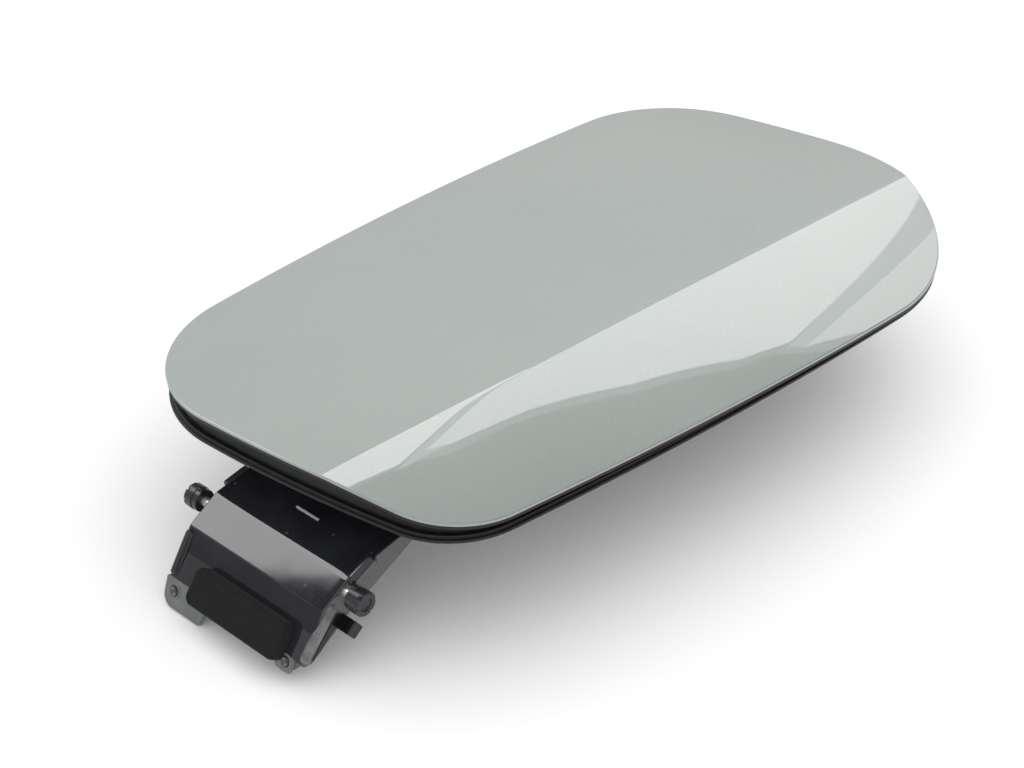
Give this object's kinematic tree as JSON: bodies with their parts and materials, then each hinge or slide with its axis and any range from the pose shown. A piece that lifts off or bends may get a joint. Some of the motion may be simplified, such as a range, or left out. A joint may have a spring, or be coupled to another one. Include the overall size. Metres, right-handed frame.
{
  "type": "fuel filler flap",
  "caption": "Painted fuel filler flap with a creased skin on a moulded inner frame, carried by a gooseneck arm with a hinge axle, foam pad and latch tower.",
  "frame": {"origin": "on the floor under the middle of the whole flap as it lies", "axes": "+X from the hinge to the free end, +Y along the hinge axle, +Z out of the painted face"},
  "size_m": [0.2472, 0.1301, 0.0522],
  "materials": {
    "paint": "satin silver green metallic paint under clear coat",
    "glue": "cured structural adhesive",
    "damper": "bitumen damping mat",
    "frame_plastic": "moulded black polypropylene",
    "seal_rubber": "extruded black rubber",
    "stop_rubber": "moulded black rubber",
    "arm_plastic": "moulded glass filled polyamide, semi gloss",
    "brass": "machined brass",
    "zinc_screw": "zinc plated steel",
    "axle_steel": "ground steel",
    "bush_plastic": "moulded acetal, satin",
    "foam": "closed cell foam",
    "plate_plastic": "thin grey polyethylene sheet",
    "peg_plastic": "moulded acetal, glossy",
    "latch_plastic": "moulded polyamide"
  },
  "bodies": {
    "flap": {"outer_skin": "paint", "bond_bead": "glue", "damping_pads": "damper", "inner_frame": "frame_plastic", "edge_seal": "seal_rubber", "rubber_stops": "stop_rubber", "thread_inserts": "brass", "hinge_arm": "arm_plastic", "arm_screws": "zinc_screw", "foam_pad": "foam", "pad_plate": "plate_plastic", "stop_peg": "peg_plastic", "latch_tower": "latch_plastic", "latch_screws": "zinc_screw"},
    "pivot": {"hinge_axle": "axle_steel", "bush_left": "bush_plastic", "bush_right": "bush_plastic"}
  },
  "joints": [
    {"name": "hinge", "type": "hinge", "parent": "flap", "child": "pivot", "pos_m": [-0.10433, 0, 0.0216], "axis": [0, 1, 0], "range_deg": [0, 95]}
  ]
}
